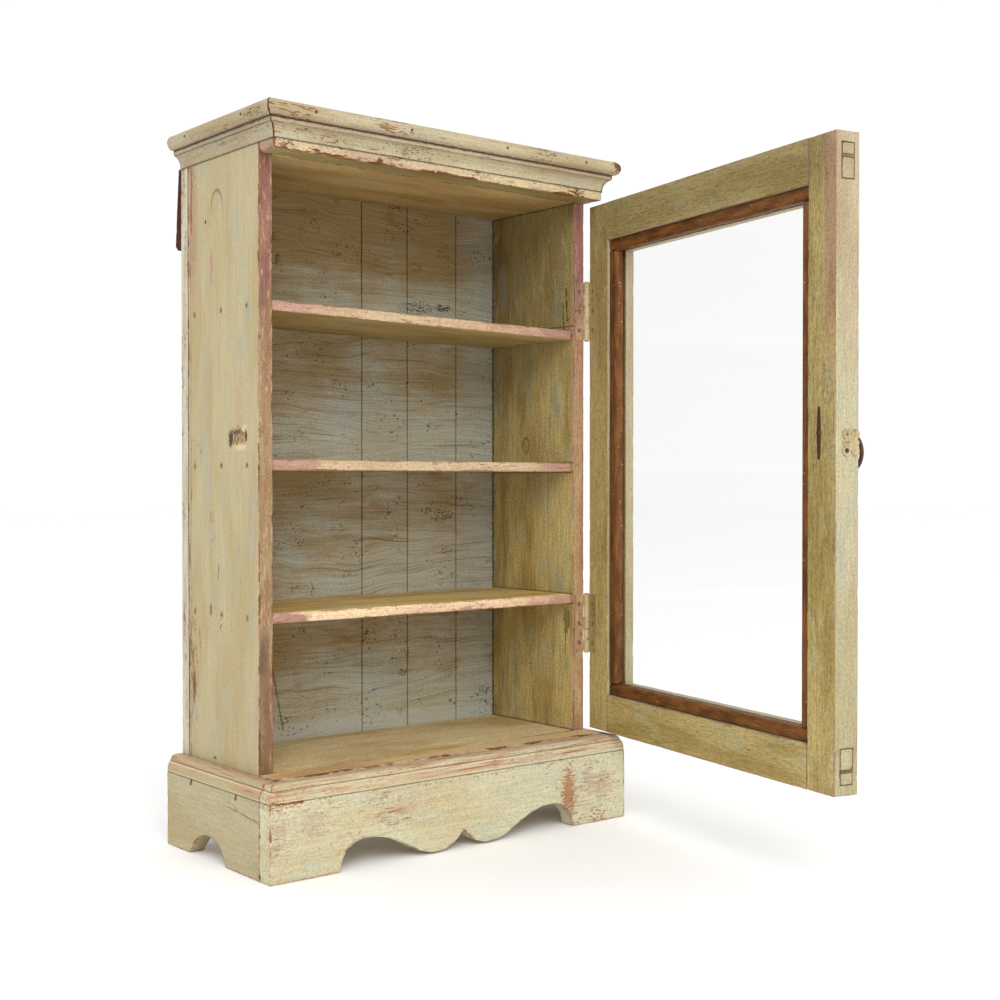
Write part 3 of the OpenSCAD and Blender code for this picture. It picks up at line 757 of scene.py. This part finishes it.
def cornice_paint(name, grain, seed, side):
    """Grey-beige paint with dark specks and cracks, dark lines in its mitres, and dark lines of
    dirt and painted shade in its hollows. The sides are painted darker as shade.
    """
    paint, colour, marks, bare, pink = moulding_paint(name, grain, seed, 0.2, 1.0, GREIGE, 0.3)
    # Painted shade: the side pieces are a darker copy of the front's paint.
    if side:
        colour = paint.shade(colour, 0.9)
    # Dirt and painted shade: dark lines in the hollow under the bead, along the bottom edge and
    # along a step, stronger on the sides.
    hollow = paint.band("z", CORNICE_QUIRK, 0.9).most(paint.band("z", CORNICE_LOW.z + 0.4, 0.8))
    step_line = paint.band("z", CORNICE_QUIRK - 3.4, 0.45) * (0.7 if side else 0.35)
    rosy = abs(paint.axes[2] + paint.ragged(4) - CORNICE_QUIRK).step(3.4, 1.5)
    specks = flakes(paint, (3.0, 1.2), 0.9) * 0.7
    end = paint.spot((X_OUT + 9, Y_FRONT - 9, CORNICE_HIGH.z - 4), (6, 6, 6), 0.5)
    pink = pink.most(rosy * (0.15 if side else 0.3))
    chips = flakes(paint, (7, 1.2), 1.0 if side else 1.3)
    chips = chips * paint.noise(paint.along(60, 6), detail=2).step(0.5, 0.6)
    bare = bare.most(chips * 0.9)
    across = (abs(paint.axes[0]) + paint.axes[1]) - (X_OUT + Y_FRONT)
    mitre = (abs(across) + paint.ragged(3)).step(1.1, 0.5) * 0.85
    cracks = paint.noise(paint.along(34, 0.9), detail=4, roughness=0.6).step(0.6, 0.68) * 0.5
    dark = most_of([specks, hollow * 0.75, step_line, mitre, cracks])
    return coat(paint, colour, marks, bare.most(end), pink, dark)


def plinth_paint(name, grain, seed, front):
    """Pale greenish cream, scuffed reddish brown in clusters and along the moulded edge. The sides
    are painted darker as shade, the grooves carry dirt and painted shade, and two arrises carry
    painted highlights.
    """
    # The sides' tones are a darker copy of the front's: painted shade.
    coats = CREAM_PALE if front else ("baae88", "b4a378", "aea98a")
    paint, colour, marks, bare, pink = moulding_paint(name, grain, seed, 0.1, 1.1, coats, 0.1)
    if front:
        face = PLINTH_LOW.y
        corner = paint.spot((PLINTH_LOW.x, face, 34), (14, 8, 36), 1.0)
        foot = paint.spot((132, face, 24), (30, 8, 34), 1.0)
        middle = paint.spot((-95, face, 38), (60, 8, 16), 1.0)
        top = (paint.axes[2] + paint.ragged(8)).step(PLINTH_TOP - 17, PLINTH_TOP - 13)
        under_line = abs(paint.axes[2] - (PLINTH_TOP - 15.5)).step(3.5, 1.0)
        scuffs = flakes(paint, (3.0, 1.3), 1.0)
        scratches = flakes(paint, (9, 1.0), 1.1)
        bare = bare.most(scuffs * most_of([corner, foot, under_line * 0.9, top * 0.4]))
        bare = bare.most(scratches * most_of([middle, foot, under_line]) * 0.8)
        pink = pink.most(flakes(paint, (7, 2.5), 1.5) * most_of([foot, corner, middle]) * 0.5)
        bare = bare.most(paint.stroke((-172, face, 58), (-150, face, 57.5), 1.6, "y", 0.6))
        rub = paint.spot((112, face, 30), (7, 8, 20), 1.0)
        bare = bare.most(rub * 0.8)
        marked = [flakes(paint, (6, 1.0), 0.6) * 0.5]
    else:
        # Painted shade: the side pieces darker again.
        colour = paint.shade(colour, 0.86)
        face = PLINTH_LOW.x
        outward = paint.facing("x", -1)
        marked = [
            paint.spot((face, 39, 57), (5, 1.5, 1.9)),
            paint.spot((face, -32.4, 57), (5, 1.5, 1.9)) * 0.8,
            paint.stroke((face, -20.6, 47.1), (face, -65.6, 43), 0.5, "x", 0.5) * outward * 0.9,
            paint.stroke((face, -31, 49), (face, -36, 46), 0.6, "x") * outward * 0.7,
            paint.spot((face, 17.7, 15.2), (5, 3, 1.8), 1.0) * 0.6,
        ]
    # Dirt and painted shade: faint dark lines along the moulding's two grooves.
    lines = most_of([paint.band("z", PLINTH_TOP - drop, 0.6) * 0.3 for drop in (13.7, 4.7)])
    over = (paint.axes[2] + paint.ragged(6)).step(PLINTH_TOP - 13, PLINTH_TOP - 10)
    strands = paint.noise(paint.along(40, 1.4), detail=4, roughness=0.65)
    colour = paint.mix(strands.step(0.42, 0.58) * over * 0.85, colour, "b88f6e")
    bare = bare.most(strands.step(0.58, 0.64) * over * 0.75)
    # Painted highlights: pale lines along two arrises of the moulding.
    pale = paint.band("z", PLINTH_TOP - 12.8, 0.5).most(paint.band("z", PLINTH_TOP - 5.7, 0.5))
    colour = paint.mix(pale * 0.6, colour, "dccba4")
    spots = most_of(marked + [lines])
    return coat(paint, colour, marks, bare, pink, spots, 0.35, ("a2683f", "855232", "b78455"))


def rail_paint(name, seed, level_tones):
    """Cream and pink on the face, thin paint on the level sides, bare pinkish end grain."""
    paint = Paint(name, "x", seed)
    pale, marks = tones(paint, ("c6b28c", "b89a80", "c0ae90"), 1.5)
    wash, _ = tones(paint, level_tones, 1.8)
    level = paint.facing("z", 1).most(paint.facing("z", -1))
    end = paint.facing("x", -1).most(paint.facing("x", 1))
    colour = paint.mix(level, pale, wash)
    colour = paint.mix(end, colour, "a98a78")
    bare = most_of(
        [
            worn_edges(paint, 2.4),
            flakes(paint, (5, 1.5), 1.1) * level.flip(),
            paint.chipped(),
        ]
    )
    pink = (worn_edges(paint, 2.5, 0.2) * 0.5).most(flakes(paint, (16, 3.5), 0.8) * 0.6)
    return coat(paint, colour, marks, bare, pink)


def shelf_wood():
    """Bare olive-brown boards with pink and cream on their front edges."""
    paint = Paint("shelf_wood", "x", 120)
    wash, wash_marks = tones(paint, ("b39a64", "9c8048", "a99b72"), 2.2)
    pale, marks = tones(paint, ("c4aa88", "b58c7a", "bca27c"), 1.6)
    front = paint.facing("y", -1)
    colour = paint.mix(front, wash, pale)
    # Painted light: the lowest shelf is painted lighter than the ones above it.
    colour = paint.shade(colour, paint.axes[2].step(260, 200) * 0.35 + 1.0)
    bare = (worn_edges(paint, 1.3) * 0.7).most(paint.chipped())
    bare = bare.most(flakes(paint, (6, 1.5), 0.5) * front)
    drift = paint.noise((34, 20, 20), detail=3)
    ends = (abs(paint.axes[0]) + (drift - 0.5) * 150).step(108, 122)
    pink = (flakes(paint, (14, 4), 1.0) * 0.8).most(ends * 0.8) * front
    return coat(paint, colour, marks.most(wash_marks), bare * front.most(0.3), pink)


def inner_board_wood(name, seed, colours):
    """Bare boards inside, worn only at their arrises."""
    paint = Paint(name, "x", seed)
    wash, marks = tones(paint, colours, 2.2)
    bare = worn_edges(paint, 1.4) * 0.6
    return coat(paint, wash, marks, bare, bare * 0.0)


def back_wash():
    """Grey-blue paint wiped across ochre-brown boards; bare behind, cream on the outer edges. The
    brown is laid heavier under the ceiling and each shelf, over the top compartment and towards the
    left, as painted shade.
    """
    paint = Paint("back_wash", "x", 160)
    swirl = paint.noise((110, 60, 10), detail=5, roughness=0.65, distortion=1.0)
    bend = (paint.noise((190, 60, 70), detail=2) - 0.5) * 46
    lines = paint.noise((130, 60, 1.3), detail=3, roughness=0.65, lift=bend)
    across = paint.noise((1.4, 60, 30), detail=3)
    cloud = paint.noise((70, 60, 40), detail=4)
    height = paint.axes[2]
    # Painted shade: the brown gathers under the ceiling and each shelf, over the top compartment
    # and towards the left side; noise frays it.
    tops = [CEILING_Z] + [z - SHELF_T for z in SHELF_Z]
    fades = [height.step(top - 120, top - 5) * height.step(top + 2, top + 1) for top in tops]
    upper = most_of(fades)
    top_compartment_shade = height.step(SHELF_Z[0] - 10, SHELF_Z[0] + 80)
    left_side = paint.axes[0].step(40, -140) * 0.2
    brown = upper * 0.45 + left_side + top_compartment_shade * 0.35
    brown = (brown + (cloud - 0.5) * 1.1 + (swirl - 0.5) * 0.8).step(-0.1, 0.75)
    colour = paint.mix(brown, "b3b09d", "957f55")
    blue = paint.noise((80, 60, 40), detail=2).step(0.46, 0.66) * brown.flip()
    right_strip = (paint.axes[0] + (swirl - 0.5) * 60).step(95, 140)
    colour = paint.mix((blue * 0.55).most(right_strip * 0.4), colour, "aab3b0")
    dark_line = lines.step(0.53, 0.64) * swirl.step(0.38, 0.58)
    colour = paint.mix((dark_line * 0.5).most(across.step(0.58, 0.68) * 0.2), colour, "5d4d33")
    rust = paint.noise((24, 60, 12), detail=4).step(0.58, 0.7) * brown
    colour = paint.mix(rust * 0.6, colour, "86602b")
    brushed = paint.noise((60, 60, 0.9), detail=3, roughness=0.6, lift=bend)
    colour = paint.shade(colour, 1.0 + (brushed - 0.5) * 1.0 + (paint.grit() - 0.5) * 1.2)
    floor_band = (height + (swirl - 0.5) * 14).step(FLOOR_Z + 17, FLOOR_Z + 11)
    colour = paint.mix(floor_band * 0.6, colour, "b9bcb2")
    stains = paint.noise((2.6, 9, 2.2), detail=3) + paint.noise((26, 60, 18)) * 0.7
    stains = stains.step(1.02, 1.08) * 0.7
    dashes = paint.noise((20, 60, 9), detail=3).step(0.42, 0.52) * 0.45 + 0.45
    seam = (paint.attribute("edge") + paint.ragged(1.6)).step(0.4, 0.0) * dashes
    flecks = paint.noise((3.5, 9, 1.3), detail=4, roughness=0.65).step(0.46, 0.56)
    marked = most_of(
        [
            stains,
            seam,
            (abs(paint.axes[0]) + paint.ragged(8)).step(X_IN - 1.6, X_IN) * 0.8,
            paint.spot((93, Y_INNER, 452), (9, 6, 4), 0.9) * flecks * 0.9,
            paint.spot((64, Y_INNER, 450), (16, 6, 5), 1.0) * flecks * 0.8,
            paint.spot((-80.7, Y_INNER, 479), (3, 6, 6), 0.8) * flecks * 0.6,
            paint.stroke((-87.3, 0, 139.6), (-76, 0, 81.7), 1.0, "y", 0.5) * 0.8,
            paint.spot((92, Y_INNER, 262), (12, 6, 5), 1.2) * flecks * 0.8,
        ]
    )
    colour = paint.mix(marked, colour, DIRT_AND_SHADE)
    streaks = paint.noise((9, 60, 160), detail=4, roughness=0.6)
    pores = paint.noise((0.9, 60, 34), detail=3, roughness=0.6)
    timber = paint.mix(streaks.step(0.4, 0.64), "8d7853", "78643f")
    timber = paint.mix(pores.step(0.52, 0.68) * 0.55, timber, "5c4a30")
    timber = paint.shade(timber, 1.0 + (paint.grit() - 0.5) * 0.8)
    colour = paint.mix(paint.facing("y", 1), colour, timber)
    rim = paint.noise((14, 8, 60), detail=4)
    painted = paint.mix(rim.step(0.45, 0.6), "c0bba6", "b5a98d")
    painted = paint.shade(painted, 1.0 + (paint.grit() - 0.5) * 1.0)
    chips = (paint.noise((3, 3, 7), detail=4, roughness=0.65) + rim * 0.5).step(0.86, 0.9)
    painted = paint.mix(chips * 0.8, painted, "7a5a42")
    outer = abs(paint.axes[0]).step(X_OUT - 1.2, X_OUT - 0.8) * paint.facing("y", -1).flip()
    colour = paint.mix(outer, colour, painted)
    return paint.surface(colour, 0.75, lines * 0.25 + swirl * 0.2 + paint.grit() * 0.1)


def door_paint(name, grain, seed):
    """Khaki open-grained wood inside, painted lighter low down and on the hinge stile and darker at
    the top as light and shade; cream with pink wear on the edges and the outer face.
    """
    paint = Paint(name, grain, seed)
    khaki, marks = tones(paint, KHAKI, 1.9)
    pores = paint.noise(paint.along(7, 0.7), detail=2).step(0.55, 0.64)
    khaki = paint.mix(pores * 0.5, khaki, "57461f")
    waves = paint.noise(paint.along(40, 2.6), detail=3, distortion=1.2)
    khaki = paint.mix(waves.step(0.54, 0.66) * 0.45, khaki, "ab9a68")
    height = paint.axes[2]
    # Painted light and shade: the khaki is lighter low down and on the hinge stile, darker at the
    # top rail.
    lift = height.step(340, 170) * 0.22 - height.step(495, 512) * 0.2
    lift = lift + paint.axes[0].step(120, 140) * 0.16
    khaki = paint.shade(khaki, lift + 0.98)
    cream, _ = tones(paint, DOOR_CREAM, 1.5)
    inner = paint.facing("y", 1)
    colour = paint.mix(inner, cream, khaki)
    free_end = paint.facing("x", -1)
    bare = (worn_edges(paint, 0.8) * 0.8).most(paint.chipped()) * free_end.flip()
    bare = bare.most(flakes(paint, (4, 1.4), 0.1) * inner.flip())
    pink = (worn_edges(paint, 2.2) * 0.4).most(flakes(paint, (16, 4), 0.3) * inner.flip() * 0.4)
    arris = (paint.axes[0] * -1.0 + paint.ragged(16)).step(X_OUT - 17, X_OUT - 6)
    high = (paint.axes[2] + (waves - 0.5) * 300).step(360, 430)
    pink = pink.most(arris * high * inner * 0.55).most(free_end * high * 0.25)
    joint = (paint.attribute("edge") + paint.ragged(0.8)).step(0.55, 0.15)
    return coat(paint, colour, marks, bare, pink, joint * free_end * 0.6)


def bead_wood(name, grain, seed):
    """Reddish-brown beads with specks of white paint, darkened along their arrises by the gaps and
    painted shade beside them.
    """
    paint = Paint(name, grain, seed)
    colour, lines = wood(paint, ("74491f", "543113", "8a5a26"))
    specks = paint.dots((3.4, 3.4, 3.4), 0.14, 0.3) * paint.noise((24, 24, 24)).step(0.42, 0.58)
    # Dark joint and painted shade: the beads darken along their arrises, where they meet the frame.
    seams_and_shade = (paint.attribute("edge") + paint.ragged(1.2)).step(0.9, 0.2)
    colour = paint.mix(seams_and_shade * 0.6, colour, "281a0e")
    colour = paint.mix(specks, colour, "e8e2d2")
    return paint.surface(colour, 0.6, lines * 0.2 + specks * 0.1)


def leaf_paint(body, seed):
    """A hinge leaf: its plate is painted over with the wood, its knuckles are cream."""
    paint = Paint(f"{body}_leaf_paint", "z", seed)
    if body == "door":
        around, marks = tones(paint, KHAKI, 1.9)
    else:
        around, marks = edge_coat(paint, 400, 490, TAN_EDGE)
    cream, _ = tones(paint, ("c2b48c", "b39f70", "b8ad8a"), 1.2)
    plate = paint.axes[0].step(X_OUT + 0.5, X_OUT + 0.2)
    colour = paint.mix(plate, cream, around)
    worn = paint.noise((5, 5, 5), detail=4).step(0.58, 0.66)
    colour = paint.mix(worn * 0.7, colour, "6b5030")
    return paint.surface(colour, 0.5, marks * 0.1 - worn * 0.1, 0.4)


def plate_paint():
    """The little plate on the door's edge, painted over with the edge."""
    paint = Paint("edge_plate_paint", "z", 345)
    colour, marks = tones(paint, ("b3a47e", "a8936a", "a79c7c"), 1.4)
    rim = paint.noise((3, 3, 3), detail=3).step(0.56, 0.66)
    outline = (paint.attribute("edge") + paint.ragged(0.8)).step(1.0, 0.45)
    colour = paint.mix((rim * 0.5).most(outline * 0.9), colour, "4a3723")
    return paint.surface(colour, 0.5, marks * 0.15, 0.4)


def wedge_paint():
    """The tenons' wedges: painted over, but darker than the wood round them."""
    paint = Paint("wedge_paint", "x", 325)
    colour, marks = tones(paint, ("84704c", "6d5838", "8d7a5a"), 1.4)
    return paint.surface(colour, 0.6, marks * 0.1)


def cleat_wood():
    """Dark red-brown timber, bare and dull."""
    paint = Paint("cleat_wood", "x", 260)
    colour, lines = wood(paint, ("4a2415", "33170e", "5a2e1b"))
    return paint.surface(colour, 0.7, lines * 0.2, 0.1)


def filled_nails():
    """The shelves' nails: filled and painted over, brown at the rim."""
    paint = Paint("shelf_nail_paint", "z", 356)
    fine = paint.noise((1.6, 1.6, 1.6), detail=3)
    colour = paint.mix(fine.step(0.42, 0.6), "8f7650", "6e5638")
    return paint.surface(colour, 0.6, fine * 0.1)


def painted_nails():
    """The plinth's nails: filled over with cream in front, bare rust at the sides."""
    paint = Paint("plinth_nail_paint", "z", 352)
    fine = paint.noise((1.2, 1.2, 1.2), detail=3)
    cream = paint.mix(fine.step(0.4, 0.6), "c6c0a0", "b3a888")
    front = paint.facing("y", -1)
    rust = paint.mix(fine.step(0.4, 0.6), "5e3a26", "3a2820")
    colour = paint.mix(front, rust, cream)
    return paint.surface(colour, 0.6, fine * 0.1)


def metal(name, colours, seed, metallic, roughness):
    """Blotched metal, or metal under paint where metallic is 0."""
    paint = Paint(name, "z", seed)
    blotch = paint.noise((4, 4, 4), detail=4)
    fine = paint.noise((1.2, 1.2, 1.2), detail=3)
    colour = paint.mix(blotch.step(0.42, 0.6), colours[0], colours[1])
    colour = paint.mix(fine.step(0.58, 0.7), colour, colours[2])
    return paint.surface(colour, blotch * 0.3 + roughness, fine * 0.12, 0.5, metallic=metallic)


def glass_look():
    """Clear glass: seen through straight on, reflecting more where it is seen aslant."""
    paint = Paint("clear_glass")
    clear = paint.add("ShaderNodeBsdfTransparent")
    clear.inputs["Color"].default_value = (1, 1, 1, 1)
    gloss = paint.add("ShaderNodeBsdfGlossy")
    gloss.inputs["Roughness"].default_value = 0.02
    slant = paint.add("ShaderNodeLayerWeight")
    slant.inputs["Blend"].default_value = 0.035
    mix = paint.add("ShaderNodeMixShader")
    output = paint.add("ShaderNodeOutputMaterial")
    for out_socket, in_socket in (
        (slant.outputs["Facing"], mix.inputs[0]),
        (clear.outputs[0], mix.inputs[1]),
        (gloss.outputs[0], mix.inputs[2]),
        (mix.outputs[0], output.inputs["Surface"]),
    ):
        paint.tree.links.new(out_socket, in_socket)
    return paint.material


# --- the pieces ---


def leaf_boards(body, seed):
    """The two hinge leaves on a body: metal, hardly eased and not chipped."""
    look = leaf_paint(body, seed)
    plain = {"ease": 0.1, "step": 20, "wave": 0, "chip": 0}
    return [
        Board(f"{level}_hinge_{body}_leaf", look, "painted_brass", body, **plain)
        for level in ("upper", "lower")
    ]


def carcass_boards():
    left = side_paint(-1)
    right = side_paint(1)
    shelves = shelf_wood()
    ceiling = inner_board_wood("ceiling_wood", 140, ("c2a56e", "ac8a50", "b09f78"))
    # Painted light: the floor board's tones are a lighter copy of the ceiling board's.
    floor = inner_board_wood("floor_wood", 145, ("d2bd8c", "bb9f6a", "c9bb98"))
    upper_rail = rail_paint("top_rail_paint", 80, OLIVE)
    # Painted light: the bottom rail's level faces get tones as light as the floor board's, where
    # the top rail's keep the olive wash.
    lower_rail = rail_paint("bottom_rail_paint", 100, ("d0b483", "bd9a68", "c4ae90"))
    back = back_wash()
    top = coat(*moulding_paint("top_paint", "x", 330, 0.3, 1.2))
    cornice_x = cornice_paint("cornice_paint_front", "x", 200, False)
    cornice_y = cornice_paint("cornice_paint_side", "y", 220, True)
    plinth_x = plinth_paint("plinth_paint_front", "x", 240, True)
    plinth_y = plinth_paint("plinth_paint_side", "y", 250, False)
    boards = [
        Board("left_side_panel", left, "cream_paint", step=3.0),
        Board("right_side_panel", right, "cream_paint", step=3.5),
        Board("bottom_board", floor, "bare_olive_wood", ease=0.6),
        Board("ceiling_board", ceiling, "bare_olive_wood", ease=0.6),
        Board("top_board", top, "cream_paint", step=5.0, ease=0.6),
        Board("top_front_rail", upper_rail, "worn_pink_paint", step=3.0),
        Board("bottom_front_rail", lower_rail, "worn_pink_paint", step=3.0),
    ]
    boards += [
        Board(f"cornice_{side}", look, "cream_paint", ease=0.3, step=3.0, chip=0.4)
        for side, look in (("front", cornice_x), ("left", cornice_y), ("right", cornice_y))
    ]
    boards += [
        Board(f"plinth_{side}", look, "cream_paint", ease=0.6, step=3.0, chip=0.6)
        for side, look in (("front", plinth_x), ("left", plinth_y), ("right", plinth_y))
    ]
    boards.append(Board("hanging_cleat", cleat_wood(), "dark_cleat_wood", ease=0.6, chip=0.4))
    boards += leaf_boards("carcass", 340)
    boards += [Board(name, shelves, "bare_olive_wood", ease=1.2, step=3.5) for name in SHELVES]
    boards += [
        Board(f"back_board_{i}", back, "grey_washed_wood", ease=0.4, step=5.0, chip=0.3)
        for i in range(1, 6)
    ]
    return boards


def door_boards():
    upright = door_paint("door_paint_upright", "z", 280)
    level = door_paint("door_paint_level", "x", 300)
    bead_x = bead_wood("bead_wood_level", "x", 310)
    bead_z = bead_wood("bead_wood_upright", "z", 320)
    boards = [
        Board(f"door_{name}", look, "khaki_door_paint", "door", step=step, ease=ease, chip=chip)
        for name, look, step, ease, chip in (
            ("hinge_stile", upright, 3.5, 0.6, 0.35),
            ("lock_stile", upright, 3.0, 0.6, 0.35),
            ("top_rail", level, 3.5, 0.3, 0.2),
            ("bottom_rail", level, 3.5, 0.3, 0.2),
        )
    ]
    plate = plate_paint()
    boards.append(Board("edge_plate", plate, "painted_brass", "door", ease=0.15, wave=0, chip=0))
    boards += leaf_boards("door", 342)
    beads = (("top", bead_x), ("bottom", bead_x), ("hinge_side", bead_z), ("lock_side", bead_z))
    boards += [
        Board(f"glazing_bead_{side}", look, "red_brown_wood", "door", ease=0.3, chip=0.4, wave=0.2)
        for side, look in beads
    ]
    return boards


def set_look(look, *nodes):
    """Gives CAD nodes that stay as they are a material of their own."""
    for node in nodes:
        mesh = frame["nodes"][node].data
        mesh.materials.clear()
        mesh.materials.append(look)


def dress_hardware():
    hinge = metal("hinge_pin_metal", ("a89a70", "8f7d4e", "6b5836"), 340, 0.2, 0.4)
    iron = metal("rusted_iron", ("4a3a30", "5e3a26", "2e2622"), 350, 0.6, 0.45)
    set_look(hinge, "upper_hinge_pin", "lower_hinge_pin")
    carcass_screws = metal("carcass_screw_paint", ("8a6456", "7b5a58", "5e4535"), 343, 0.0, 0.5)
    door_screws = metal("door_screw_paint", ("8a7744", "7a6436", "57461f"), 344, 0.0, 0.5)
    set_look(carcass_screws, "carcass_leaf_screws")
    set_look(door_screws, "door_leaf_screws")
    set_look(painted_nails(), "plinth_nails")
    set_look(filled_nails(), "shelf_nails")
    set_look(
        iron, "cornice_nails", "back_nails", "cleat_screws", "bead_pins",
        "edge_plate_nails", "pull_backplate", "pull_cotter", "pull_ring",
    )
    set_look(wedge_paint(), "tenon_wedges")
    set_look(glass_look(), "glass_pane")


make_camera()
make_floor()
make_studio()
for board in carcass_boards() + door_boards():
    build_board(board)
dress_hardware()
